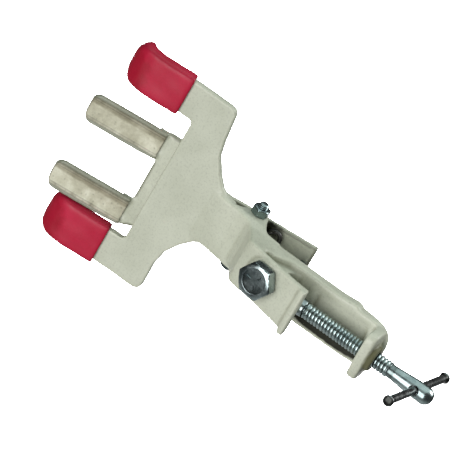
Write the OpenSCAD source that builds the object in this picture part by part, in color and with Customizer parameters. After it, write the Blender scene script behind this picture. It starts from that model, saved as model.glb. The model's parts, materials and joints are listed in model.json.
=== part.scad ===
// Four-prong retort clamp with a built-in boss head.
// X runs from the prongs (-X) to the boss screw (+X), Z is the rod direction,
// -Y is the side the jaw screw is turned from. The origin is the centre of the rod seat.

/* [Rod seat and boss] */
// radius of the half-round rod seat
rod_r = 6.05; // [4:0.05:8]
// depth of the boss along the rod
boss_h = 26; // [20:0.5:32]
// inner face of the spine, measured from the rod axis
spine_in = 6.6; // [6.2:0.1:9]
// outer face of the spine, measured from the rod axis
spine_out = 13.8; // [11:0.1:17]
// inner face of the end wall
wall_x = 43.2; // [34:0.5:55]
// thickness of the end wall
wall_t = 5.5; // [4:0.1:8]
// rear edge of the hook that covers the rod
hook_x = 9.5; // [8:0.5:14]
// slope of the hook plate
hook_deg = 16; // [5:1:20]

/* [Fixed jaw] */
// thickness of the jaw plate
plate_t = 4; // [3:0.1:6]
// face of the jaw plate on the screw side
plate_y = 19; // [16:0.5:23]
// width of each outer prong
prong_w = 18; // [14:0.1:22]
// distance between the centres of the outer prongs
prong_pitch = 89.4; // [70:0.2:110]
// radial thickness of the dipped prong covers
cap_t = 1.9; // [1:0.1:3]

/* [Swinging jaw] */
// thickness of the swinging jaw plate
jaw_t = 3.5; // [2.5:0.1:5]
// width of each inner finger
finger_w = 15.6; // [12:0.1:20]
// distance between the centres of the inner fingers
finger_pitch = 39.3; // [30:0.1:50]
// sideways set of the two fingers
finger_dz = -6; // [-6:0.5:6]
// thickness of the finger lining
lining_t = 1.2; // [0.8:0.1:2]

/* [Hinge] */
// hinge axis along the clamp
hinge_x = -35.8; // [-45:0.1:-30]
// hinge axis behind the boss axis
hinge_y = 24; // [20:0.1:28]
// radius of the hinge bolt
hinge_r = 2.45; // [2:0.05:4]
// radial play on the hinge bolt
hinge_play = 0.08; // [0.01:0.01:0.1]

/* [Jaw screw] */
// radius of the hexagon jaw screw
jaw_screw_r = 5; // [3:0.1:6]
// width across the flats of its head
jaw_screw_af = 16.5; // [10:0.5:19]
// tilt of the jaw screw
jaw_screw_deg = 10; // [0:1:16]
// gap under its head when the jaws are closed
jaw_screw_gap = 0.5; // [0.3:0.1:2]

/* [Boss screw] */
// thread radius of the boss screw
spindle_r = 4; // [3:0.1:6]
// radius of its plain neck
shank_r = 3.5; // [2:0.05:5]
// radius of the tommy bar
bar_r = 2.05; // [1.5:0.1:4]
// length of the tommy bar
bar_len = 69; // [40:1:70]
// turn of the tommy bar about the screw
bar_deg = -6.5; // [-90:1:90]
// lean of the tommy bar in its loose hole
bar_lean = 5; // [0:0.5:5]

/* [Hidden] */
$fn = 64;
plate_far = plate_y + plate_t;
half_h = boss_h / 2;
neck_h = 13.5;
ear_h = 14.3;
core_h = 9.5;
hook_low = -10.5;
hook_high = 13.2;
seat_z = 2.8;
seat_x = -13.4;
seat_y = -6.4;
screw_t = 32.7;
dog_r = 2.6;
head_h = 6.4;
jaw_y = plate_far + 1.2;
finger_z1 = finger_dz + finger_pitch / 2;
finger_z2 = finger_dz - finger_pitch / 2;
finger_back = -90;
finger_deg = 12;
finger_len = 42.4;
root_x = 2.7;
trough_r = 10.5;
trough_t = 2.6;
prong_z = prong_pitch / 2;
ear_in = 10.5;
lug_out = 10.2;
lug_in = 7.2;
tail_x = -5;
slab_x = 51.3;
spindle_x = 7.9;
thread_end = 59;
bar_x = 74.9;
ball_x = 79.4;
ball_r = 4.6;
cap_start = -92.7;
tip_x = -123.6;
tip_r = 5.6;
prong_path = [[-84, 21], [cap_start, 20.6], [-100, 19.3], [-107, 18.3], [-112.5, 18],
              [-117, 18.8], [-120, 20.4], [-121.6, 22.8]];
cap_path = [for (i = [1 : len(prong_path) - 1]) prong_path[i]];

function side(a, b) = [a[1] - b[1], b[0] - a[0]] / norm(b - a);
function before(p, i) = side(p[max(i - 1, 0)], p[max(i, 1)]);
function after(p, i) = side(p[min(i, len(p) - 2)], p[min(i + 1, len(p) - 1)]);
function normal_at(p, i) = (before(p, i) + after(p, i)) / norm(before(p, i) + after(p, i));
function band(p, h) = concat([for (i = [0 : len(p) - 1]) p[i] + normal_at(p, i) * h],
                             [for (i = [len(p) - 1 : -1 : 0]) p[i] - normal_at(p, i) * h]);

// flat shape drawn in X and Y, given a height from z0 to z1
module upright(points, z0, z1) {
    translate([0, 0, z0])
        linear_extrude(z1 - z0)
            polygon(points);
}

// flat shape drawn in X and Z, given a thickness from y0 to y1
module sheet(points, y0, y1) {
    translate([0, y1, 0])
        rotate([90, 0, 0])
            linear_extrude(y1 - y0)
                polygon(points);
}

// cylinder along Z between two heights
module post(x, y, r, z0, z1) {
    translate([x, y, z0])
        cylinder(r = r, h = z1 - z0);
}

// cylinder along X between two stations
module shaft(x0, x1, r) {
    translate([x0, 0, 0])
        rotate([0, 90, 0])
            cylinder(r = r, h = x1 - x0);
}

// strip that follows the bow of an outer prong
module prong_strip(path, h, z0, z1) {
    upright(band(path, h), z0, z1);
    post(path[len(path) - 1][0], path[len(path) - 1][1], h, z0, z1);
}

// rounded outline of a prong tip, grown by g, that reaches over the given heights in Y
module tip_outline(zc, g) {
    x = tip_x - g;
    w = prong_w / 2 + g;
    r = tip_r + g;
    translate([x + r, 10, zc - w])
        cube([40, 24, 2 * w]);
    translate([x, 10, zc - w + r])
        cube([40, 24, 2 * (w - r)]);
    translate([x + r, 34, zc + w - r])
        rotate([90, 0, 0])
            cylinder(r = r, h = 24);
    translate([x + r, 34, zc - w + r])
        rotate([90, 0, 0])
            cylinder(r = r, h = 24);
}

// one outer prong of the fixed jaw
module prong(zc) {
    intersection() {
        prong_strip(prong_path, plate_t / 2, zc - prong_w / 2, zc + prong_w / 2);
        tip_outline(zc, 0);
    }
}

// frame of the jaw screw: local Z runs along the screw towards the swinging jaw
module along_jaw_screw() {
    translate([seat_x, seat_y, seat_z])
        rotate([0, 0, -jaw_screw_deg])
            rotate([-90, 0, 0])
                children();
}

// flat plate of the fixed jaw with its two arms
module jaw_plate() {
    o = prong_z + prong_w / 2;
    i = prong_z - prong_w / 2;
    sheet([[-92, o], [-71.6, o], [-69.2, o - 0.9], [-68, o - 3.2], [-66.6, 37], [-65, 29],
           [-60.5, 21.5], [-56, 16.3], [-52.5, 14.1], [-47, neck_h], [-47, -neck_h],
           [-52.5, -14.1], [-56, -16.3], [-60.5, -21.5], [-65, -29], [-66.6, -37],
           [-66.4, 3.2 - o], [-67.6, 0.9 - o], [-70, -o], [-92, -o], [-92, -i],
           [-86.2, -i], [-84.7, 1.5 - i], [-84.7, i - 1.5], [-86.2, i], [-92, i]],
          plate_y, plate_far);
}

// neck that carries the jaw plate on to the boss
module neck() {
    upright([[-58.5, plate_y], [-52.5, 17.6], [-43, 16.2], [-36.5, 14], [-24, 12],
             [-17, spine_out], [-24, 14.8], [-30, 16.8], [-36, 18.6], [-43, 20.2],
             [-52, 21.6], [-58.5, plate_far]], -neck_h, neck_h);
}

// rise from the neck to the hook
module shoulder() {
    upright([[-38.5, 16], [-36.5, 14], [-33, 9.8], [-30.4, 4.2], [-28.4, -0.2], [-25.5, -1.9],
             [-21, -3.1], [-19, 1], [-22, 10], [-22, 13.5], [-30, 16.2]], -11, 13);
}

// plate that hooks over the rod on the side the jaw screw is turned from
module hook() {
    s = tan(hook_deg);
    top = -9.2;
    upright([[-25.5, top + 25.5 * s], [hook_x - 4, top - (hook_x - 4) * s],
             [hook_x - 3.2, top - (hook_x - 3.2) * s - 1.3],
             [hook_x - 0.8, top - hook_x * s - 1.3], [hook_x, top - hook_x * s - 0.5],
             [hook_x, -7.6], [0, -rod_r], [-6, -4.4], [-22, 0], [-26, 0]], hook_low, hook_high);
    upright([[hook_x - 3.6, top - (hook_x - 4) * s], [hook_x - 3.2, top - (hook_x - 3.2) * s - 1.3],
             [hook_x - 0.8, top - hook_x * s - 1.3], [hook_x, top - hook_x * s - 0.5],
             [hook_x, -9], [hook_x - 3, -9]], hook_low - 1.8, hook_low + 1);
}

// solid middle between hook and spine, holding the jaw screw and the rod seat
module core() {
    upright([[-27, 0], [-21, -2], [-4, -7], [0, -7.4], [0, 8], [-14, 8.5], [-24, 14],
             [-27, 14]], -core_h, core_h);
    upright([[-26, 2.4], [-15, 2.4], [-6.4, 6.8], [-6.4, 9], [-26, 9]], -12.6, 12.6);
}

// back of the boss with its long hollow
module spine() {
    z = half_h;
    difference() {
        intersection() {
            upright([[-26, 8.4], [-8, spine_in], [slab_x - 0.8, spine_in], [slab_x, spine_in + 0.8],
                     [slab_x, 8.6], [slab_x - 0.9, 10.2], [slab_x - 3.3, 11.4], [36, 12.9],
                     [26, spine_out], [-17, spine_out], [-26, 15.3]], -20, 20);
            sheet([[-27, z], [22, z], [29.4, z + 0.8], [30.6, z + 0.6], [31.8, z - 0.5],
                   [38, z - 0.4], [44, z - 1], [47.6, z - 2.4], [50, z - 4.8], [slab_x, z - 8],
                   [slab_x, 8 - z], [50, 4.8 - z], [47.6, 2.4 - z], [44, 1 - z],
                   [37, 0.4 - z], [22, -z], [-27, -z]], -20, 20);
        }
        translate([0, spine_in + 2.4 - 20, 0])
            shaft(11, wall_x - 3, 20, $fn = 128);
    }
}

// tongue that stands on the end of the spine and holds the boss screw in a raised collar
module end_wall() {
    y0 = -7.6;
    z = half_h;
    r = 4.4;
    translate([wall_x, 0, 0])
        rotate([90, 0, 90])
            linear_extrude(wall_t)
                polygon([[y0, r - z], [y0 + r, -z], [1, -z], [8, 1.2 - z], [8, z - 1.2], [1, z],
                         [y0 + r, z], [y0, z - r]]);
    translate([0, y0 + r, z - r])
        shaft(wall_x, wall_x + wall_t, r);
    translate([0, y0 + r, r - z])
        shaft(wall_x, wall_x + wall_t, r);
    shaft(wall_x + 1, wall_x + wall_t + 2.8, 6.8);
}

// ear of the fixed jaw, on the upper side
module ear() {
    post(hinge_x, hinge_y, 5.5, ear_in, ear_h);
    upright([[-47, 18.5], [-40.9, 25], [-30.9, 25], [-26.5, 14.5]], ear_in, ear_h);
}

// fixed jaw, neck and boss cast in one piece
module clamp_body() {
    color([0.75, 0.76, 0.68])
        difference() {
            union() {
                jaw_plate();
                prong(prong_z);
                prong(-prong_z);
                neck();
                shoulder();
                hook();
                core();
                spine();
                end_wall();
                ear();
                mirror([0, 0, 1])
                    ear();
                along_jaw_screw()
                    cylinder(r = 9.4, h = 3);
            }
            post(0, 0, rod_r, -20, 20);
            upright([[0, -rod_r], [hook_x + 0.6, -7.7], [hook_x + 0.6, spine_in], [0, rod_r]],
                    -20, 20);
            along_jaw_screw()
                translate([0, 0, -6])
                    cylinder(r = 9.8, h = 6);
            along_jaw_screw()
                translate([0, 0, -2])
                    cylinder(r = jaw_screw_r + 0.08, h = 30);
            shaft(wall_x - 5, wall_x + wall_t + 4, spindle_r + 0.08);
            post(hinge_x, hinge_y, hinge_r, -20, 20);
        }
}

// dipped cover of one outer prong
module prong_cap(zc) {
    color([0.68, 0.07, 0.17])
        difference() {
            intersection() {
                prong_strip(cap_path, plate_t / 2 + cap_t, zc - prong_w / 2 - cap_t,
                            zc + prong_w / 2 + cap_t);
                tip_outline(zc, cap_t);
            }
            prong(zc);
        }
}

module prong_cap_upper() {
    prong_cap(prong_z);
}

module prong_cap_lower() {
    prong_cap(-prong_z);
}

// frame of one inner finger: local X runs towards its tip, local Y to the screw side
module along_finger(zc) {
    translate([finger_back, jaw_y + 3.9, zc])
        rotate([0, 0, 180 + finger_deg])
            children();
}

// trough of an inner finger between two radii, cut to a width and a depth
module trough(r_out, r_in, w, depth, x0, x1, round_r) {
    intersection() {
        difference() {
            translate([0, trough_r, 0])
                shaft(x0, x1 + 1, r_out, $fn = 96);
            translate([0, trough_r, 0])
                shaft(x0 - 1, x1 + 2, r_in, $fn = 96);
        }
        union() {
            translate([x0 - 2, -1, -w / 2])
                cube([x1 - x0 + 2 - round_r, depth + 1, w]);
            translate([x1 - 2 * round_r, -1, round_r - w / 2])
                cube([2 * round_r, depth + 1, w - 2 * round_r]);
            for (z = [round_r - w / 2, w / 2 - round_r])
                translate([x1 - round_r, -1, z])
                    rotate([-90, 0, 0])
                        cylinder(r = round_r, h = depth + 1);
        }
    }
}

// ear of the swinging jaw, on the upper side
module lug() {
    post(hinge_x, hinge_y, 5, lug_in, lug_out);
    upright([[hinge_x - 5, hinge_y], [hinge_x + 5, hinge_y], [hinge_x + 5, 31],
             [hinge_x - 5, 31]], lug_in, lug_out);
}

// flat root that joins an inner finger to the plate of the swinging jaw
module finger_root(zc) {
    upright([[-97.5, jaw_y + 0.9], [-89, jaw_y + 0.9], [-89, jaw_y + 3.1],
             [-97.5, jaw_y + 2.8]],
            zc + 0.6 - finger_w / 2, zc + finger_w / 2 - 0.6);
}
// hollow cut back into the plate where a trough grows from it
module trough_hollow(zc) {
    along_finger(zc)
        translate([0, trough_r, 0])
            shaft(root_x - 0.6, 9, trough_r - trough_t + 0.6, $fn = 96);
}

// cranked plate of the swinging jaw, narrow at the hinge and wide at the fingers
module jaw_blade() {
    hi = finger_z1 + finger_w / 2;
    lo = finger_z2 - finger_w / 2;
    intersection() {
        upright([[-92, jaw_y], [-62, jaw_y], [-50, 28.4], [-43, 30], [-30, 30], [tail_x, 31.2],
                 [tail_x, 31.2 + jaw_t], [-30, 30 + jaw_t], [-44, 30 + jaw_t],
                 [-51, 28.4 + jaw_t], [-63, jaw_y + jaw_t], [-92, jaw_y + jaw_t]], lo, hi);
        sheet([[-92, hi], [-76, hi], [-64, 13], [-52, 10.4], [-41, 10.4], [-31, 11.4],
               [tail_x, 13], [tail_x, -12.4], [-31, -11.4], [-50, -11], [-62, -16],
               [-76, -26], [-86.5, lo + 2.6], [-90, lo + 0.8], [-92, lo]], 20, 40);
    }
}

// swinging jaw with two troughed fingers, hinge ears and tail
module finger_jaw() {
    color([0.75, 0.76, 0.68])
        difference() {
            union() {
                difference() {
                    union() {
                        jaw_blade();
                        finger_root(finger_z1);
                        finger_root(finger_z2);
                    }
                    trough_hollow(finger_z1);
                    trough_hollow(finger_z2);
                }
                along_finger(finger_z1)
                    trough(trough_r, trough_r - trough_t, finger_w, 5.6, root_x, finger_len, 5);
                along_finger(finger_z2)
                    trough(trough_r, trough_r - trough_t, finger_w, 5.6, root_x, finger_len, 5);
                lug();
                mirror([0, 0, 1])
                    lug();
            }
            post(hinge_x, hinge_y, hinge_r + hinge_play, -20, 20);
        }
}

// lining bedded in the trough of one inner finger
module finger_lining(zc) {
    color([0.78, 0.74, 0.6])
        along_finger(zc)
            trough(trough_r - trough_t, trough_r - trough_t - lining_t, finger_w - 0.8, 5.6,
                   root_x + 0.3, finger_len - 0.4, 4.6);
}

module finger_lining_upper() {
    finger_lining(finger_z1);
}

module finger_lining_lower() {
    finger_lining(finger_z2);
}

// bolt the swinging jaw turns on
module hinge_bolt() {
    color([0.7, 0.72, 0.74]) {
        post(hinge_x, hinge_y, hinge_r, -ear_h, ear_h + 6.4);
        translate([0, 0, -ear_h - 3.5])
            post_hex(hinge_x, hinge_y, 8, 3.5);
    }
}

// hexagon of a given width across the flats
module post_hex(x, y, af, h) {
    translate([x, y, 0])
        cylinder(r = af / 2 / cos(30), h = h, $fn = 6);
}

// nut on the hinge bolt
module hinge_nut() {
    color([0.7, 0.72, 0.74])
        difference() {
            translate([0, 0, ear_h])
                post_hex(hinge_x, hinge_y, 8, 4);
            post(hinge_x, hinge_y, hinge_r, 0, 40);
        }
}

// coil that pushes the jaws apart, with a bent leg that bears on the tail of the swinging jaw
module jaw_spring() {
    turns = 4.75;
    steps = 12;
    rise = 11.6 / (turns * steps);
    coil = [for (i = [0 : turns * steps])
            [hinge_x + 3.9 * cos(i * 360 / steps), hinge_y - 3.9 * sin(i * 360 / steps),
             i * rise - 5.8]];
    leg = [[-30.6, 28.1, 5.9], [-29.2, 28.2, 6.6], [-27.6, 28.3, 8.3], [-25.8, 28.4, 9.4],
           [-24, 28.5, 9.5], [-22.6, 28.5, 8.5], [-22, 28.5, 6.8], [-21.9, 28.5, 1.5]];
    path = concat(coil, leg);
    color([0.35, 0.36, 0.38])
        for (i = [1 : len(path) - 1])
            hull() {
                translate(path[i - 1])
                    sphere(r = 1.1, $fn = 8);
                translate(path[i])
                    sphere(r = 1.1, $fn = 8);
            }
}

// hexagon screw with a turned-down tip that presses the tail of the swinging jaw
module jaw_screw() {
    color([0.7, 0.72, 0.74])
        along_jaw_screw() {
            translate([0, 0, -jaw_screw_gap - head_h])
                cylinder(r = jaw_screw_af / 2 / cos(30), h = head_h, $fn = 6);
            translate([0, 0, -jaw_screw_gap])
                cylinder(r = jaw_screw_r, h = screw_t - 5.4 + jaw_screw_gap);
            translate([0, 0, screw_t - 5.4])
                cylinder(r1 = jaw_screw_r, r2 = dog_r, h = 3);
            translate([0, 0, screw_t - 2.4])
                cylinder(r = dog_r, h = 7.4 - dog_r);
            translate([0, 0, screw_t + 5 - dog_r])
                sphere(r = dog_r);
        }
}

// pad that swivels on the end of the boss screw and bears on the rod
module screw_pad() {
    color([0.7, 0.72, 0.74])
        difference() {
            shaft(rod_r + 0.15, spindle_x + 2.7, spindle_r + 0.3);
            shaft(spindle_x - 0.1, spindle_x + 4, 2.6);
        }
}

// boss screw with its plain neck and cross-drilled head
module spindle() {
    color([0.7, 0.72, 0.74])
        difference() {
            union() {
                shaft(spindle_x, spindle_x + 3.1, 2.5);
                shaft(spindle_x + 3, thread_end, spindle_r);
                shaft(thread_end, ball_x, shank_r);
                translate([62, 0, 0])
                    rotate([0, 90, 0])
                        cylinder(r1 = shank_r, r2 = 4.5, h = 12);
                shaft(74, ball_x, 4.5);
                translate([ball_x, 0, 0])
                    sphere(r = ball_r);
            }
            translate([bar_x, 0, 0])
                rotate([bar_deg, 0, 0])
                    rotate([90, 0, 0])
                        cylinder(r = bar_r + 0.7, h = 20, center = true);
        }
}

// loose bar that turns the boss screw, with upset ends
module tommy_bar() {
    color([0.7, 0.72, 0.74])
        translate([bar_x, 0, 0])
            rotate([bar_deg, 0, 0])
                rotate([0, 0, -bar_lean])
                    rotate([90, 0, 0]) {
                        cylinder(r = bar_r, h = bar_len - 1, center = true);
                        translate([0, 0, bar_len / 2 - 2.4])
                            bar_end();
                        mirror([0, 0, 1])
                            translate([0, 0, bar_len / 2 - 2.4])
                                bar_end();
                    }
}

// upset end of the bar, too wide for the hole it slides in
module bar_end() {
    cylinder(r1 = bar_r, r2 = bar_r + 0.8, h = 1.2);
    translate([0, 0, 1.2])
        cylinder(r = bar_r + 0.8, h = 0.9);
    translate([0, 0, 2.1])
        cylinder(r1 = bar_r + 0.8, r2 = bar_r + 0.5, h = 0.3);
}

clamp_body();
prong_cap_upper();
prong_cap_lower();
finger_jaw();
finger_lining_upper();
finger_lining_lower();
hinge_bolt();
hinge_nut();
jaw_spring();
jaw_screw();
screw_pad();
spindle();
tommy_bar();
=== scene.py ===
"""Looks for a four-prong retort clamp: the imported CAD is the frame, each piece gets its surface."""

import json
import math

import bmesh
import bpy
import numpy as np
from mathutils import Matrix, Vector


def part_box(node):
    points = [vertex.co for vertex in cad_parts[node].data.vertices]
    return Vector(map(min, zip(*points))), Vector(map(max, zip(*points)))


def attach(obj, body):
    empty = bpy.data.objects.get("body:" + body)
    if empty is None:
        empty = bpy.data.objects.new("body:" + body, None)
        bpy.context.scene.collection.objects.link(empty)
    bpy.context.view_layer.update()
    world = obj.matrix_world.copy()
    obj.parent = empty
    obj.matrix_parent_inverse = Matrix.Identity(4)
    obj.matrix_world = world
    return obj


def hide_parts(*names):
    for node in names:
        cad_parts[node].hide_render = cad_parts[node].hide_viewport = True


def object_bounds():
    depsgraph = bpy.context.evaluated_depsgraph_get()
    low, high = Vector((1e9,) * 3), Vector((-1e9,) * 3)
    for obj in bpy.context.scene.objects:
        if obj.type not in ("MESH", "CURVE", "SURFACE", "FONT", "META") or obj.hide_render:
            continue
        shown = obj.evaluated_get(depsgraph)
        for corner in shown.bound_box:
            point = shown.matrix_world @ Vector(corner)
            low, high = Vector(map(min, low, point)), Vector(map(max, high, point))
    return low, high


MM = 0.001
ALONG_ROD = (0, 0, 1)
ALONG_CLAMP = (1, 0, 0)

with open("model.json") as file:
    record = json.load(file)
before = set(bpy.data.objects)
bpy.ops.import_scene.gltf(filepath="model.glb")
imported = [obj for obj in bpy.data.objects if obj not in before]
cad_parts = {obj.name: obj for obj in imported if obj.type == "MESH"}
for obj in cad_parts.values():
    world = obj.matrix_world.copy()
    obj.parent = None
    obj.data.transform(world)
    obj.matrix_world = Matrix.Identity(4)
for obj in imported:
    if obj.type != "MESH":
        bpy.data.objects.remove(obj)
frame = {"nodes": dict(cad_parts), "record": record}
cad_lo, cad_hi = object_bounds()
joints = {j["name"]: j for j in frame["record"]["behaviour"]["joints"]}


def joint_axis(name):
    """The direction of a joint in the record."""
    return Vector(joints[name]["axis"])


# ---------------------------------------------------------------- mesh helpers

def new_object(name, vertices, faces):
    """A mesh object from plain lists, in the row frame."""
    mesh = bpy.data.meshes.new(name)
    mesh.from_pydata(vertices, [], faces)
    mesh.validate()
    mesh.update()
    obj = bpy.data.objects.new(name, mesh)
    bpy.context.collection.objects.link(obj)
    return obj


def apply_modifiers(obj):
    """Bakes an object's modifiers into a new mesh."""
    depsgraph = bpy.context.evaluated_depsgraph_get()
    depsgraph.update()
    baked = bpy.data.meshes.new_from_object(obj.evaluated_get(depsgraph))
    obj.modifiers.clear()
    obj.data = baked


def copy_of(node, name):
    """A welded copy of a CAD node's mesh."""
    mesh = frame["nodes"][node].data.copy()
    mesh.materials.clear()
    work = bmesh.new()
    work.from_mesh(mesh)
    bmesh.ops.remove_doubles(work, verts=work.verts, dist=0.002 * MM)
    work.to_mesh(mesh)
    work.free()
    obj = bpy.data.objects.new(name, mesh)
    bpy.context.collection.objects.link(obj)
    return obj


def remesh(obj, size):
    """Rebuilds a surface from even quads of the given size."""
    step = obj.modifiers.new("voxels", "REMESH")
    step.mode = "VOXEL"
    step.voxel_size = size
    step.use_smooth_shade = True
    apply_modifiers(obj)


def neighbours(mesh):
    """Edge list and the number of edges at each vertex."""
    edges = np.empty(len(mesh.edges) * 2, dtype=np.int64)
    mesh.edges.foreach_get("vertices", edges)
    edges = edges.reshape(-1, 2)
    count = np.bincount(edges.ravel(), minlength=len(mesh.vertices)).astype(float)
    return edges, np.maximum(count, 1)[:, None]


def coordinates(mesh):
    """All vertex positions as an array."""
    points = np.empty(len(mesh.vertices) * 3)
    mesh.vertices.foreach_get("co", points)
    return points.reshape(-1, 3)


def set_coordinates(mesh, points):
    """Writes all vertex positions back."""
    mesh.vertices.foreach_set("co", np.ascontiguousarray(points).ravel())
    mesh.update()


def average_of_neighbours(points, edges, count):
    """The mean place of each vertex's neighbours."""
    total = np.zeros_like(points)
    for axis in range(3):
        total[:, axis] += np.bincount(edges[:, 0], points[edges[:, 1], axis], len(points))
        total[:, axis] += np.bincount(edges[:, 1], points[edges[:, 0], axis], len(points))
    return total / count


def relax(obj, passes, weight=1.0):
    """Rounds edges and fills inner corners. weight may be one number or one per vertex."""
    mesh = obj.data
    edges, count = neighbours(mesh)
    points = coordinates(mesh)
    share = np.broadcast_to(np.asarray(weight, dtype=float).reshape(-1, 1), (len(points), 1))
    for _ in range(passes):
        points = points + 0.5 * share * (average_of_neighbours(points, edges, count) - points)
    set_coordinates(mesh, points)


def normals(mesh):
    """All vertex normals as an array."""
    values = np.empty(len(mesh.vertices) * 3)
    mesh.vertices.foreach_get("normal", values)
    return values.reshape(-1, 3)


def ripple(points, wavelength, seed):
    """Smooth uneven field between -1 and 1, from a few sine waves in fixed directions."""
    waves, usual_peak = 7, 4.5
    random = np.random.default_rng(seed)
    total = np.zeros(len(points))
    for _ in range(waves):
        direction = random.normal(size=3)
        direction /= np.linalg.norm(direction)
        length = wavelength * random.uniform(0.6, 1.5)
        total += np.sin(points @ direction * (2 * math.pi / length) + random.uniform(0, 2 * math.pi))
    return total / usual_peak


def push(obj, amount):
    """Moves each vertex along its normal."""
    points = coordinates(obj.data) + normals(obj.data) * np.asarray(amount).reshape(-1, 1)
    set_coordinates(obj.data, points)


def keep_inside_cad(obj):
    """Holds a surface inside the CAD model's box."""
    set_coordinates(obj.data, np.clip(coordinates(obj.data), np.array(cad_lo), np.array(cad_hi)))


def mark_edges(obj):
    """Stores how convex (1) or hollow (0) the surface is, for wear on edges and painted shade in corners and
    on rounded edges.
    """
    full_edge = 0.05 * MM
    mesh = obj.data
    edges, count = neighbours(mesh)
    points = coordinates(mesh)
    value = np.einsum("ij,ij->i", normals(mesh), points - average_of_neighbours(points, edges, count))
    value = np.clip(0.5 + value / full_edge, 0, 1).reshape(-1, 1)
    for _ in range(3):
        value = 0.5 * value + 0.5 * average_of_neighbours(value.repeat(3, 1), edges, count)[:, :1]
    layer = mesh.attributes.new("wear_and_shade", "FLOAT", "POINT")
    layer.data.foreach_set("value", value.ravel())


def shade(obj, sharp_angle=None):
    """Smooth shading, with hard edges above the given angle."""
    obj.data.shade_smooth()
    if sharp_angle:
        obj.data.set_sharp_from_angle(angle=math.radians(sharp_angle))


def axis_frame(node, direction):
    """Where a turned CAD node sits: its matrix with local Z on its axis from its low end, and its length."""
    z = Vector(direction).normalized()
    side = Vector((0, 0, 1)) if abs(z.z) < 0.9 else Vector((1, 0, 0))
    x = (side - z * side.dot(z)).normalized()
    y = z.cross(x)
    points = coordinates(frame["nodes"][node].data)
    low, high = [], []
    for axis in (x, y, z):
        along = points @ np.array(axis)
        low.append(along.min())
        high.append(along.max())
    origin = x * ((low[0] + high[0]) / 2) + y * ((low[1] + high[1]) / 2) + z * low[2]
    place = Matrix((x, y, z)).transposed().to_4x4()
    place.translation = origin
    return place, high[2] - low[2]


# ---------------------------------------------------------------- turned parts

def steps(start, end, radius, pitch, per_pitch=10):
    """Evenly spaced stations of one radius, close enough to carry a thread."""
    n = max(2, int(round(abs(end - start) / pitch * per_pitch)))
    return [(start + (end - start) * i / n, radius) for i in range(n + 1)]


def thread(start, end, pitch, depth):
    """Radius rule for a right-hand thread cut between two stations, fading in and out."""
    run_out, crest = 0.8 * pitch, 0.2

    def cut(z, r, angle):
        if z < start or z > end:
            return r
        fade = min(1, (z - start) / run_out, (end - z) / run_out)
        phase = (z / pitch - angle / (2 * math.pi)) % 1
        flank = min(1, max(0, (abs(2 * phase - 1) - crest) / (1 - crest)))
        return r - depth * flank * flank * (3 - 2 * flank) * fade
    return cut


def hexagon(flats, low, high):
    """Radius rule for a hexagon head between two stations, with chamfered corners at both faces."""
    corner, face_rim, chamfer_slope = 1.142, 0.955, 1.9

    def cut(z, r, angle):
        if z < low or z > high:
            return r
        turn = (angle + math.pi / 6) % (math.pi / 3) - math.pi / 6
        flat = min(flats / 2 / math.cos(turn), flats / 2 * corner)
        edge = min(z - low, high - z)
        return min(flat, flats / 2 * face_rim + edge * chamfer_slope)
    return cut


def turned(name, place, stations, rules=(), segments=72):
    """A closed turned piece: stations are (height, radius), and rules reshape the radius by angle."""
    vertices, faces = [], []
    for z, r in stations:
        for i in range(segments):
            angle = 2 * math.pi * i / segments
            radius = r
            for rule in rules:
                radius = rule(z, radius, angle)
            vertices.append(place @ Vector((radius * math.cos(angle), radius * math.sin(angle), z)))
    for k in range(len(stations) - 1):
        for i in range(segments):
            j = (i + 1) % segments
            a, b = k * segments, (k + 1) * segments
            faces.append((a + i, a + j, b + j, b + i))
    for k, z in ((0, stations[0][0]), (len(stations) - 1, stations[-1][0])):
        centre = len(vertices)
        vertices.append(place @ Vector((0, 0, z)))
        for i in range(segments):
            pair = (k * segments + i, k * segments + (i + 1) % segments)
            faces.append((*(pair[::-1] if k == 0 else pair), centre))
    return new_object(name, vertices, faces)


def dome(start, radius, end_radius, height, rings=8):
    """Stations of a rounded end, from full radius to a small flat."""
    out = []
    for i in range(1, rings + 1):
        t = i / rings * math.pi / 2
        out.append((start + height * math.sin(t), end_radius + (radius - end_radius) * math.cos(t)))
    return out


# ---------------------------------------------------------------- materials

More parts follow.
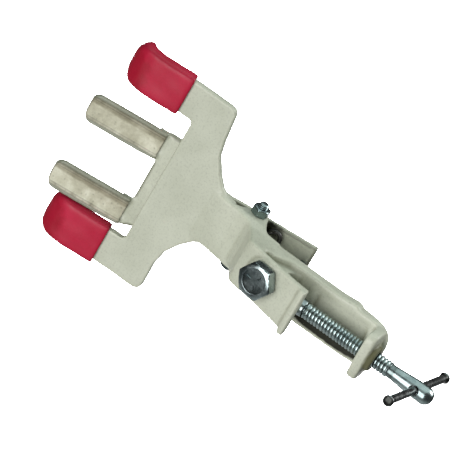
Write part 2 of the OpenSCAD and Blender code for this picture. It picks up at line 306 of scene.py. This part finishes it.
class Look:
    """A node material being built. Every texture is laid out in object coordinates."""

    def __init__(self, name):
        self.made = bpy.data.materials.new(name)
        self.made.use_nodes = True
        self.nodes, self.links = self.made.node_tree.nodes, self.made.node_tree.links
        self.inputs = self.nodes["Principled BSDF"].inputs

    def link(self, source, socket):
        """Feeds a shader socket."""
        self.links.new(source, self.inputs[socket])

    def set(self, **values):
        """Plain constants on shader sockets. Coat_Roughness means the socket Coat Roughness."""
        for socket, value in values.items():
            self.inputs[socket.replace("_", " ")].default_value = value

    def place(self):
        """Object coordinates, which are the row frame's metres."""
        return self.nodes.new("ShaderNodeTexCoord").outputs["Object"]

    def noise(self, scale, detail=4, roughness=0.55):
        """A cloudy value."""
        texture = self.nodes.new("ShaderNodeTexNoise")
        texture.inputs["Scale"].default_value = scale
        texture.inputs["Detail"].default_value = detail
        texture.inputs["Roughness"].default_value = roughness
        self.links.new(self.place(), texture.inputs["Vector"])
        return texture.outputs["Fac"]

    def cells(self, scale):
        """The distance to the nearest of many scattered points."""
        texture = self.nodes.new("ShaderNodeTexVoronoi")
        texture.inputs["Scale"].default_value = scale
        self.links.new(self.place(), texture.inputs["Vector"])
        return texture.outputs["Distance"]

    def wear_and_shade(self):
        """The stored edge value of a piece."""
        node = self.nodes.new("ShaderNodeAttribute")
        node.attribute_name = "wear_and_shade"
        return node.outputs["Fac"]

    def ramp(self, source, stops):
        """Colours or greys at positions along a value."""
        node = self.nodes.new("ShaderNodeValToRGB")
        elements = node.color_ramp.elements
        while len(elements) < len(stops):
            elements.new(0.5)
        for element, (position, tone) in zip(elements, stops):
            element.position = position
            element.color = (*tone, 1) if isinstance(tone, tuple) else (tone, tone, tone, 1)
        self.links.new(source, node.inputs["Fac"])
        return node.outputs["Color"]

    def multiply(self, first, *others):
        """The product of two or more colours."""
        for other in others:
            node = self.nodes.new("ShaderNodeMix")
            node.data_type = "RGBA"
            node.blend_type = "MULTIPLY"
            factor, a, b = [socket for socket in node.inputs if socket.enabled]
            factor.default_value = 1.0
            self.links.new(first, a)
            self.links.new(other, b)
            first = [socket for socket in node.outputs if socket.enabled][0]
        return first

    def arrange(self, kind, operation, source, value):
        """A vector or plain maths node that works on a socket and a constant."""
        node = self.nodes.new(kind)
        node.operation = operation
        node.inputs[1].default_value = value
        self.links.new(source, node.inputs[0])
        return node

    def spot(self, centre, reach, darkest):
        """A patchy tone that fades out from one place. reach is its half length along X, Y and Z."""
        offset = self.arrange("ShaderNodeVectorMath", "SUBTRACT", self.place(), centre)
        scaled = self.arrange("ShaderNodeVectorMath", "DIVIDE", offset.outputs["Vector"], reach)
        away = self.nodes.new("ShaderNodeVectorMath")
        away.operation = "LENGTH"
        self.links.new(scaled.outputs["Vector"], away.inputs[0])
        patchy = self.arrange("ShaderNodeMath", "MULTIPLY_ADD", self.noise(260), 0.3)
        self.links.new(away.outputs["Value"], patchy.inputs[2])
        return self.ramp(patchy.outputs["Value"], [(0.75, darkest), (1.0, 1.0)])

    def bump(self, *heights):
        """Chains bumps, each (height socket, strength, distance), into the shader's normal."""
        last = None
        for height, strength, distance in heights:
            node = self.nodes.new("ShaderNodeBump")
            node.inputs["Strength"].default_value = strength
            node.inputs["Distance"].default_value = distance
            self.links.new(height, node.inputs["Height"])
            if last:
                self.links.new(last, node.inputs["Normal"])
            last = node.outputs["Normal"]
        self.link(last, "Normal")


def powder_coat(name, painted_shade_patches, rim):
    """Cream powder coat: soft orange peel, faint cloudy tone, rims rubbed lighter or darkened as painted
    shade, painted shade in the corners and painted shadows at given places.
    """
    look = Look(name)
    cloud = look.ramp(look.noise(38, 5), [(0.32, (0.455, 0.475, 0.375)), (0.68, (0.540, 0.560, 0.455))])
    flecks = look.ramp(look.noise(900, 3, 0.6), [(0.30, 0.86), (0.5, 1.0)])
    # hollows are darkened as painted shade; rims are lightened as wear or darkened as painted shade
    edge = look.ramp(look.wear_and_shade(), [(0.18, (0.70, 0.69, 0.63)), (0.46, 1.0), (0.56, 1.0), (0.74, rim)])
    # painted shadows darken the colour and take away specular and coat, so they read as deep shade
    painted_shadow_tone = look.multiply(*[look.spot(*painted_shade_patch) for painted_shade_patch in painted_shade_patches])
    look.link(look.multiply(cloud, flecks, edge, painted_shadow_tone), "Base Color")
    look.link(look.ramp(painted_shadow_tone, [(0.05, 0.08), (1.0, 0.45)]), "Specular IOR Level")
    look.link(look.ramp(painted_shadow_tone, [(0.2, 0.0), (1.0, 0.18)]), "Coat Weight")
    look.link(look.ramp(look.noise(160), [(0.3, 0.36), (0.7, 0.52)]), "Roughness")
    look.set(Coat_Roughness=0.3)
    look.bump((look.noise(120, 5, 0.6), 0.35, 0.25 * MM), (look.noise(700, 2, 0.5), 0.30, 0.06 * MM))
    return look.made


def dipped_vinyl(name, tip_shade):
    """Red dip moulding: waxy gloss, slow ripples, fine pits, painted shade in the hollows and on the rounded
    edges, and a darker red at the tip that is painted shade.
    """
    look = Look(name)
    cloud = look.ramp(look.noise(45), [(0.3, (0.370, 0.007, 0.028)), (0.7, (0.490, 0.014, 0.050))])
    # hollows and rounded edges are darkened as painted shade
    edge = look.ramp(look.wear_and_shade(), [(0.2, 0.5), (0.48, 1.0), (0.62, 1.0), (0.95, 0.75)])
    look.link(look.multiply(cloud, edge, look.spot(*tip_shade)), "Base Color")
    look.link(look.ramp(look.noise(210), [(0.3, 0.36), (0.75, 0.50)]), "Roughness")
    look.set(Specular_IOR_Level=0.26, Coat_Weight=0.04, Coat_Roughness=0.3)
    look.set(Subsurface_Weight=0.06, Subsurface_Radius=(0.004, 0.001, 0.001), Subsurface_Scale=0.3)
    look.bump((look.noise(60, 2), 0.5, 0.5 * MM), (look.noise(1100, 3), 0.22, 0.05 * MM))
    return look.made


def mottled_lining(name, painted_shade):
    """Beige lining with darker specks, a matt, grainy face, and painted shade along its upper wall, in its
    hollows and on its outer edges.
    """
    look = Look(name)
    cloud = look.noise(110, 6, 0.65)
    tone = look.ramp(cloud, [(0.32, (0.370, 0.355, 0.255)), (0.50, (0.530, 0.515, 0.390)),
                             (0.68, (0.720, 0.710, 0.570))])
    specks = look.ramp(look.cells(420), [(0.06, 0.74), (0.28, 1.0)])
    # hollows and outer edges are darkened as painted shade
    edge = look.ramp(look.wear_and_shade(), [(0.3, 0.8), (0.47, 1.0), (0.56, 1.0), (0.70, 0.68)])
    look.link(look.multiply(tone, specks, edge, look.spot(*painted_shade)), "Base Color")
    look.link(look.ramp(look.noise(300), [(0.3, 0.62), (0.7, 0.82)]), "Roughness")
    look.bump((cloud, 0.4, 0.25 * MM), (look.noise(620, 5, 0.7), 0.5, 0.12 * MM))
    return look.made


def plated_steel(name, light, dark, smooth, rough, painted_shade_patches=()):
    """Zinc plate over turned steel: cool cloudy passivation, fine scratches, painted shade in the hollows
    and painted shade at given places.
    """
    look = Look(name)
    cloud = look.ramp(look.noise(150, 5), [(0.3, dark), (0.62, light)])
    # hollows are darkened as painted shade
    painted_shade = look.ramp(look.wear_and_shade(), [(0.22, (0.20, 0.20, 0.19)), (0.47, 1.0)])
    look.link(look.multiply(cloud, painted_shade, *[look.spot(*painted_shade_patch) for painted_shade_patch in painted_shade_patches]), "Base Color")
    look.set(Metallic=1.0)
    uneven = look.noise(380, 5, 0.65)
    look.link(look.ramp(uneven, [(0.3, smooth), (0.72, rough)]), "Roughness")
    look.bump((uneven, 0.25, 0.08 * MM), (look.noise(1500, 3, 0.6), 0.18, 0.03 * MM))
    return look.made


def matt_paint(name, colour):
    """The studio floor's paint, very slightly cloudy."""
    look = Look(name)
    look.link(look.ramp(look.noise(3, 2), [(0.3, tuple(c * 0.985 for c in colour)), (0.7, colour)]),
              "Base Color")
    look.set(Roughness=0.9)
    return look.made


def cap_vinyl(side):
    """The vinyl of one prong cap, darker red at the tip as painted shade where the tip curves away."""
    low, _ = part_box("prong_cap_" + side)
    # darker red towards the tip: painted shade
    tip = (low[0], low[1], low[2] + 6 * MM)
    return dipped_vinyl("dipped_vinyl_" + side, (tip, (18 * MM, 26 * MM, 20 * MM), (0.72, 0.40, 0.50)))


def finger_lining(side):
    """The lining of one inner finger, darker along its upper wall as painted shade under the wall."""
    low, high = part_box("finger_lining_" + side)
    wall = ((low[0] + high[0]) / 2, (low[1] + high[1]) / 2, high[2] - 1.2 * MM)
    # painted shade under the upper wall
    painted_shade = (wall, (50 * MM, 30 * MM, 4.2 * MM), (0.66, 0.64, 0.60))
    return mottled_lining("mottled_lining_" + side, painted_shade)


def painted_shade_patch(centre, reach, darkest):
    """A painted shade patch's centre and half lengths, given in millimetres, with its darkest tone."""
    return tuple(c * MM for c in centre), tuple(half * MM for half in reach), darkest


def shaded_bar_ends():
    """Painted shade on the two upset ends of the tommy bar, darkening their end discs against the lamp's
    reflection.
    """
    # dark patches on both end discs: painted shade
    reach, scale = (3.1 * MM, 1.5 * MM, 3.1 * MM), (0.16, 0.16, 0.15)
    return [(tuple(bar_place @ Vector((0, 0, along))), reach, scale) for along in (0.0, bar_length)]


bar_place, bar_length = axis_frame("tommy_bar", joint_axis("bar_slide"))
# patches of painted shadow: the cavity behind the hinge, the hollow under the jaw screw, and painted shade
# on the outer face of the end wall and its collar
hinge_painted_shadow = painted_shade_patch((-28, 24, 8), (13.5, 10.5, 12), (0.07, 0.07, 0.055))
screw_painted_shadow = painted_shade_patch((24, 7, -8.6), (29, 5.5, 3.6), (0.03, 0.03, 0.02))
collar_painted_shade = painted_shade_patch((52.5, -4, 0), (6.3, 16, 16), (0.26, 0.25, 0.17))
paint = powder_coat("powder_coat", [screw_painted_shadow, collar_painted_shade], rim=(1.03, 1.03, 1.02))
# the swinging jaw's coat darkens its rims and carries the hinge cavity's patch, both as painted shade
jaw_paint_with_shade = powder_coat("powder_coat_shaded", [hinge_painted_shadow], rim=(0.50, 0.50, 0.46))
bright_zinc = plated_steel("bright_zinc", (0.38, 0.46, 0.455), (0.22, 0.285, 0.29), 0.2, 0.34)
dull_zinc = plated_steel("dull_zinc", (0.34, 0.40, 0.40), (0.12, 0.155, 0.16), 0.15, 0.3)
bar_steel = plated_steel("bar_steel", (0.36, 0.38, 0.375), (0.13, 0.14, 0.14), 0.18, 0.34, shaded_bar_ends())
# near-black: the spring's own dark finish, and also painted shade for the hinge cavity around its leg
spring_wire = plated_steel("spring_wire", (0.10, 0.10, 0.095), (0.04, 0.04, 0.036), 0.3, 0.5)


def finish_piece(obj, node, body, look, sharp=None):
    """Gives a piece its edge value, material and shading, hangs it on its body, and hides the CAD node it
    stands for.
    """
    mark_edges(obj)
    obj.data.materials.clear()
    obj.data.materials.append(look)
    shade(obj, sharp)
    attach(obj, body)
    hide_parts(node)


# ---------------------------------------------------------------- cast and moulded parts

def away_from(points, origin, direction, radius):
    """0 on a bore's wall and 1 beyond it, so that smoothing leaves the bore true."""
    fade = 1.2 * MM
    axis = np.array(direction) / np.linalg.norm(direction)
    offset = points - np.array(origin)
    offset = offset - np.outer(offset @ axis, axis)
    return np.clip((np.linalg.norm(offset, axis=1) - radius) / fade, 0, 1)


def cast_piece(node, body, look, voxel, passes, uneven, seed, extra=None):
    """A cast or moulded piece: the CAD shape with rounded edges, filled corners and an uneven skin."""
    wavelength = 9 * MM
    obj = copy_of(node, node + "_skin")
    remesh(obj, voxel)
    relax(obj, passes)
    if extra:
        extra(obj)
    push(obj, uneven * ripple(coordinates(obj.data), wavelength, seed))
    keep_inside_cad(obj)
    finish_piece(obj, node, body, look)


def soften_casting(obj):
    """Thicker fillets and rounder edges on the neck and the boss than on the flat jaw plate."""
    plate_end, blend = -62 * MM, 14 * MM
    lip_from, lip_to, lip_back = 2 * MM, 12 * MM, -6 * MM
    points = coordinates(obj.data)
    x, y = points[:, 0], points[:, 1]
    weight = np.clip((x - plate_end) / blend, 0, 1)
    # the raised lip at the end of the hook plate stays crisp
    weight[(x > lip_from) & (y < lip_back) & (x < lip_to)] *= 0.2
    screw_axis = joint_axis("jaw_screw_travel")
    screw_seat, _ = axis_frame("jaw_screw", -screw_axis)
    weight *= away_from(points, (0, 0, 0), ALONG_ROD, 6.2 * MM)
    weight *= away_from(points, (0, 0, 0), ALONG_CLAMP, 4.2 * MM)
    weight *= away_from(points, screw_seat.translation, screw_axis, 5.2 * MM)
    relax(obj, 26, weight)


def soften_roots(obj):
    """Rounder shoulders where the inner fingers grow out of the jaw plate."""
    root_x, reach = -92 * MM, 6 * MM
    x = coordinates(obj.data)[:, 0]
    relax(obj, 26, np.clip(1.4 - abs(x - root_x) / reach, 0, 1))


cast_piece("clamp_body", "clamp", paint,
           voxel=0.42 * MM, passes=5, uneven=0.06 * MM, seed=3, extra=soften_casting)
cast_piece("finger_jaw", "swing_jaw", jaw_paint_with_shade,
           voxel=0.40 * MM, passes=6, uneven=0.05 * MM, seed=5, extra=soften_roots)
for side in ("upper", "lower"):
    cast_piece("prong_cap_" + side, "clamp", cap_vinyl(side),
               voxel=0.45 * MM, passes=50, uneven=0.12 * MM, seed=11)
    cast_piece("finger_lining_" + side, "swing_jaw", finger_lining(side),
               voxel=0.28 * MM, passes=4, uneven=0.04 * MM, seed=17)


# ---------------------------------------------------------------- hinge bolt, nut and spring

hinge_flats = 8 * MM
hinge_blank = 4.6 * MM


def hinge_bolt():
    """M5 hexagon bolt across the hinge, with its head below and its thread above."""
    place, length = axis_frame("hinge_bolt", ALONG_ROD)
    head, shank, pitch, threaded = 3.5 * MM, 2.45 * MM, 0.8 * MM, 12 * MM
    stations = [(0, 3.6 * MM), (0.25 * MM, 3.9 * MM)]
    stations += steps(0.3 * MM, head - 0.2 * MM, hinge_blank, 0.4 * MM, 1)
    stations += [(head - 0.05 * MM, 4.0 * MM), (head, 3.9 * MM), (head + 0.02 * MM, shank)]
    stations += steps(head + 0.1 * MM, length - 0.6 * MM, shank, pitch)
    stations += [(length - 0.05 * MM, shank - 0.5 * MM), (length, shank - 0.7 * MM)]
    rules = [hexagon(hinge_flats, 0.0, head), thread(length - threaded, length, pitch, 0.42 * MM)]
    bolt = turned("hinge_bolt_turned", place, stations, rules)
    finish_piece(bolt, "hinge_bolt", "clamp", bright_zinc, sharp=40)


def hinge_nut():
    """Hexagon nut, open through its bore."""
    place, length = axis_frame("hinge_nut", ALONG_ROD)
    bore, face, hair = 2.47 * MM, 3.8 * MM, 0.001 * MM
    stations = [(0, bore), (hair, face)]
    stations += steps(0.05 * MM, length - 0.05 * MM, hinge_blank, 0.3 * MM, 1)
    stations += [(length - hair, face), (length, bore)]
    nut = turned("hinge_nut_turned", place, stations,
                 [hexagon(hinge_flats, 0.01 * MM, length - 0.01 * MM)])
    finish_piece(nut, "hinge_nut", "clamp", bright_zinc, sharp=40)


def smooth_path(points, per_span):
    """Points of a smooth curve through the given points."""
    out = []
    for i in range(len(points) - 1):
        before, a, b = points[max(i - 1, 0)], points[i], points[i + 1]
        after = points[min(i + 2, len(points) - 1)]
        for k in range(per_span):
            t = k / per_span
            out.append(0.5 * (2 * a + (b - before) * t + (2 * before - 5 * a + 4 * b - after) * t * t
                              + (3 * a - before - 3 * b + after) * t ** 3))
    return out + [points[-1]]


def round_wire(name, path, wire, ring=14):
    """A round wire bent along a path."""
    vertices, faces = [], []
    side = Vector(ALONG_ROD)
    for k, point in enumerate(path):
        ahead = (path[min(k + 1, len(path) - 1)] - path[max(k - 1, 0)]).normalized()
        side = (side - ahead * side.dot(ahead)).normalized()
        up = ahead.cross(side)
        for i in range(ring):
            turn = 2 * math.pi * i / ring
            vertices.append(point + wire * (math.cos(turn) * side + math.sin(turn) * up))
    for k in range(len(path) - 1):
        for i in range(ring):
            j = (i + 1) % ring
            faces.append((k * ring + i, k * ring + j, (k + 1) * ring + j, (k + 1) * ring + i))
    faces.append(tuple(range(ring))[::-1])
    faces.append(tuple((len(path) - 1) * ring + i for i in range(ring)))
    return new_object(name, vertices, faces)


def jaw_spring():
    """Coil round the hinge bolt, with one leg bent over to bear on the tail of the swinging jaw."""
    hinge_x, hinge_y, _ = joints["jaw_swing"]["pos_m"]
    wire, coil_r, coil_z, coil_length = 1.08 * MM, 3.9 * MM, -5.8, 11.6
    turns, per_turn = 4.75, 32
    coil = []
    for i in range(int(turns * per_turn) + 1):
        angle = -2 * math.pi * i / per_turn
        rise = i / (turns * per_turn)
        coil.append(Vector((hinge_x + coil_r * math.cos(angle), hinge_y + coil_r * math.sin(angle),
                            (rise * coil_length + coil_z) * MM)))
    leg = [Vector((x, y, z)) * MM for x, y, z in
           ((-30.6, 28.1, 5.9), (-29.2, 28.2, 6.6), (-27.6, 28.3, 8.3), (-25.8, 28.4, 9.4),
            (-24, 28.5, 9.5), (-22.6, 28.5, 8.5), (-22, 28.5, 6.8), (-21.9, 28.5, 1.7))]
    spring = round_wire("jaw_spring_wire", coil[:-1] + smooth_path([coil[-1]] + leg, 8), wire)
    finish_piece(spring, "jaw_spring", "swing_jaw", spring_wire, sharp=60)


hinge_bolt()
hinge_nut()
jaw_spring()


# ---------------------------------------------------------------- jaw screw

def raised_ribs(place, count, inner, outer, width, low, high):
    """Short raised ribs set like spokes on a screw head, joined as one object."""
    first_spoke, shoulder = 0.3, 0.16 * MM
    vertices, faces = [], []
    for k in range(count):
        angle = 2 * math.pi * (k + first_spoke) / count
        out = Vector((math.cos(angle), math.sin(angle), 0))
        side = Vector((-out.y, out.x, 0))
        start = len(vertices)
        for z, half in ((high, width / 2), (low + shoulder, width / 2 * 0.7), (low, width / 2 * 0.25)):
            for along, across in ((inner, -half), (outer, -half), (outer, half), (inner, half)):
                vertices.append(place @ (out * along + side * across + Vector((0, 0, z))))
        for ring in (start, start + 4):
            for i in range(4):
                j = (i + 1) % 4
                faces.append((ring + i, ring + j, ring + 4 + j, ring + 4 + i))
        faces += [(start + 8, start + 9, start + 10, start + 11), (start + 3, start + 2, start + 1, start)]
    return new_object("ribs", vertices, faces)


def join(first, second):
    """Adds the second object's mesh to the first."""
    merged = bmesh.new()
    merged.from_mesh(first.data)
    merged.from_mesh(second.data)
    bmesh.ops.recalc_face_normals(merged, faces=merged.faces)
    merged.to_mesh(first.data)
    merged.free()
    bpy.data.objects.remove(second)


def jaw_screw():
    """M10 hexagon screw: a dished head with three ribs, a thread and a turned-down, rounded tip."""
    place, length = axis_frame("jaw_screw", -joint_axis("jaw_screw_travel"))
    head, dish, flats, blank = 6.4 * MM, 0.45 * MM, 16.5 * MM, 9.3 * MM
    shank, pitch, dog = 5 * MM, 1.5 * MM, 2.6 * MM
    thread_end, dog_start, tip = length - 10.5 * MM, length - 7.2 * MM, length - dog
    stations = [(dish, 0.5 * MM), (dish, 4.9 * MM), (0.06 * MM, 6.0 * MM), (0, 6.5 * MM),
                (0.04 * MM, 7.1 * MM), (0.16 * MM, 7.5 * MM)]
    stations += steps(0.2 * MM, head - 0.5 * MM, blank, 0.25 * MM, 1)
    stations += [(head - 0.4 * MM, 7.7 * MM), (head, 7.6 * MM), (head + 0.02 * MM, shank)]
    stations += steps(head + 0.1 * MM, thread_end, shank, pitch)
    stations += [(thread_end + 0.1 * MM, shank - 0.1 * MM), (dog_start - 0.3 * MM, dog + 0.1 * MM),
                 (dog_start, dog), (tip - 0.1 * MM, dog)]
    stations += dome(tip, dog, 0.4 * MM, dog)
    rules = [hexagon(flats, 0.18 * MM, head - 0.45 * MM),
             thread(head + 0.6 * MM, thread_end, pitch, 0.85 * MM)]
    screw = turned("jaw_screw_turned", place, stations, rules, 96)
    join(screw, raised_ribs(place, count=3, inner=2.0 * MM, outer=4.7 * MM, width=0.8 * MM,
                            low=0.08 * MM, high=dish + 0.05 * MM))
    finish_piece(screw, "jaw_screw", "jaw_screw", dull_zinc, sharp=35)


jaw_screw()


# ---------------------------------------------------------------- rod screw, pad and bar

def screw_pad():
    """Swivelling pad: a rounded button with a blind bore for the spindle's tip."""
    place, length = axis_frame("screw_pad", ALONG_CLAMP)
    rim, bore, depth = 4.3 * MM, 2.65 * MM, 2.78 * MM
    stations = [(0, 3.1 * MM), (0.12 * MM, 3.9 * MM), (0.4 * MM, rim - 0.05 * MM), (0.9 * MM, rim),
                (length - 0.6 * MM, rim), (length - 0.2 * MM, rim - 0.15 * MM), (length, 3.8 * MM),
                (length, bore), (length - depth, bore - 0.03 * MM)]
    pad = turned("screw_pad_turned", place, stations)
    finish_piece(pad, "screw_pad", "pad", dull_zinc, sharp=40)


def drill_for_bar(spindle):
    """Cuts the cross hole in the spindle's head, on the bar's axis."""
    hole_r, hole_length = 2.75 * MM, 18 * MM
    cutter_place = bar_place.copy()
    cutter_place.translation = bar_place @ Vector((0, 0, (bar_length - hole_length) / 2))
    cutter = turned("hole_cutter", cutter_place, [(0, hole_r), (hole_length, hole_r)])
    hole = spindle.modifiers.new("hole", "BOOLEAN")
    hole.object = cutter
    hole.operation = "DIFFERENCE"
    hole.solver = "EXACT"
    apply_modifiers(spindle)
    bpy.data.objects.remove(cutter)


def rod_screw():
    """Rod screw: pad tip, 8 mm thread, plain neck that flares, and a rounded, cross-drilled head."""
    place, _ = axis_frame("spindle", ALONG_CLAMP)
    start = place.translation.x
    tip_r, thread_r, neck, shoulder, ball = 2.5 * MM, 4 * MM, 3.5 * MM, 4.5 * MM, 4.6 * MM
    pitch, cut = 1.8 * MM, 0.45 * MM
    thread_lo, thread_hi = 3.0 * MM, 59 * MM - start
    flare_at, head_at, ball_at = 62 * MM - start, 74 * MM - start, 79.4 * MM - start
    stations = [(0, 2.1 * MM), (0.3 * MM, tip_r), (thread_lo, tip_r), (thread_lo + 0.02 * MM, 3.2 * MM)]
    stations += steps(thread_lo + 0.4 * MM, thread_hi, thread_r, pitch, 12)
    stations += [(thread_hi + 0.25 * MM, 3.7 * MM), (thread_hi + 0.45 * MM, neck),
                 (thread_hi + 1.4 * MM, neck)]
    stations += [(flare_at + (head_at - flare_at) * k / 10, neck + (shoulder - neck) * k / 10)
                 for k in range(11)]
    stations += steps(head_at + 1 * MM, ball_at - 1.2 * MM, shoulder, 1.2 * MM, 1)
    stations += [(ball_at, ball)] + dome(ball_at, ball, 0.3 * MM, ball, 12)
    rules = [thread(thread_lo + 0.2 * MM, thread_hi + 0.4 * MM, pitch, cut)]
    spindle = turned("spindle_turned", place, stations, rules, 80)
    drill_for_bar(spindle)
    finish_piece(spindle, "spindle", "spindle", bright_zinc, sharp=38)


def tommy_bar():
    """Loose bar with domed ends, upset wider than the hole."""
    shaft = 2.05 * MM
    upset = shaft + 0.8 * MM
    end = [(0, 0.5 * MM), (0.06 * MM, 1.2 * MM), (0.2 * MM, 1.85 * MM), (0.45 * MM, 2.4 * MM),
           (0.8 * MM, upset - 0.08 * MM), (1.1 * MM, upset), (1.4 * MM, upset - 0.1 * MM),
           (1.8 * MM, shaft + 0.3 * MM), (2.3 * MM, shaft + 0.06 * MM), (3 * MM, shaft)]
    middle = steps(5 * MM, bar_length - 5 * MM, shaft, 3 * MM, 1)
    other_end = [(bar_length - z, radius) for z, radius in reversed(end)]
    bar = turned("tommy_bar_turned", bar_place, end + middle + other_end, segments=64)
    finish_piece(bar, "tommy_bar", "bar", bar_steel, sharp=40)


screw_pad()
rod_screw()
tommy_bar()


# ---------------------------------------------------------------- studio

floor_z = cad_lo[2] - 1200 * MM
look_at = Vector((-22, 10, 0)) * MM


def pale_floor():
    """A wide pale floor, well below the clamp."""
    half = 6
    floor = new_object("floor", [(x, y, floor_z) for x, y in
                                 ((-half, -half), (half, -half), (half, half), (-half, half))],
                       [(0, 1, 2, 3)])
    floor.data.materials.append(matt_paint("pale_floor", (0.93, 0.93, 0.93)))


def dim_surroundings():
    """A dark room, so that the metal reflects only the lamps."""
    world = bpy.data.worlds.new("studio")
    world.use_nodes = True
    background = world.node_tree.nodes["Background"]
    background.inputs["Color"].default_value = (1.0, 1.0, 1.0, 1)
    background.inputs["Strength"].default_value = 0.06
    bpy.context.scene.world = world


def add_camera():
    """A long lens on the jaw screw's side, from above and rolled."""
    azimuth, elevation, roll = math.radians(11.4), math.radians(26.7), math.radians(30.44)
    seen_width, distance, sensor = 220.6 * MM, 3.8, 36
    slide_left, slide_up = 9.4 * MM, 12.15 * MM
    toward = Vector((math.sin(azimuth) * math.cos(elevation), -math.cos(azimuth) * math.cos(elevation),
                     math.sin(elevation)))
    level_right = Vector((math.cos(azimuth), math.sin(azimuth), 0))
    level_up = toward.cross(level_right)
    right = level_right * math.cos(roll) + level_up * math.sin(roll)
    up = level_up * math.cos(roll) - level_right * math.sin(roll)
    centre = look_at - right * slide_left + up * slide_up
    data = bpy.data.cameras.new("camera")
    data.sensor_width = sensor
    data.lens = sensor * distance / seen_width
    data.clip_end = 50
    camera = bpy.data.objects.new("camera", data)
    bpy.context.collection.objects.link(camera)
    turn = Matrix((right, up, toward)).transposed()
    camera.matrix_world = Matrix.Translation(centre + toward * distance) @ turn.to_4x4()
    bpy.context.scene.camera = camera


def area_light(name, direction, distance, size, power, colour=(1, 1, 1)):
    """A square soft light aimed at the middle of the clamp."""
    data = bpy.data.lights.new(name, "AREA")
    data.shape = "SQUARE"
    data.size = size
    data.energy = power
    data.color = colour
    lamp = bpy.data.objects.new(name, data)
    bpy.context.collection.objects.link(lamp)
    aim = Vector(direction).normalized()
    lamp.location = look_at + aim * distance
    lamp.rotation_mode = "QUATERNION"
    lamp.rotation_quaternion = aim.to_track_quat("Z", "Y")
    return lamp


def add_lights():
    """A low frontal softbox, a rear fill, a cool overhead panel and a pool on the floor behind."""
    area_light("key", (-0.16, -1.0, 0.08), distance=1.3, size=1.1, power=18)
    area_light("back_fill", (0.6, 0.55, 0.6), distance=1.4, size=0.8, power=12)
    area_light("sky", (-0.15, 0.10, 1.0), distance=1.2, size=1.8, power=10.5, colour=(0.88, 1.0, 0.98))
    pool = area_light("backdrop", (0, 0, 1), distance=0.5, size=1.0, power=40)
    pool.location = Vector((-0.55, 2.45, floor_z + 1.2))
    pool.data.spread = math.radians(80)


pale_floor()
dim_surroundings()
add_camera()
add_lights()
bpy.context.scene.view_settings.view_transform = "Standard"
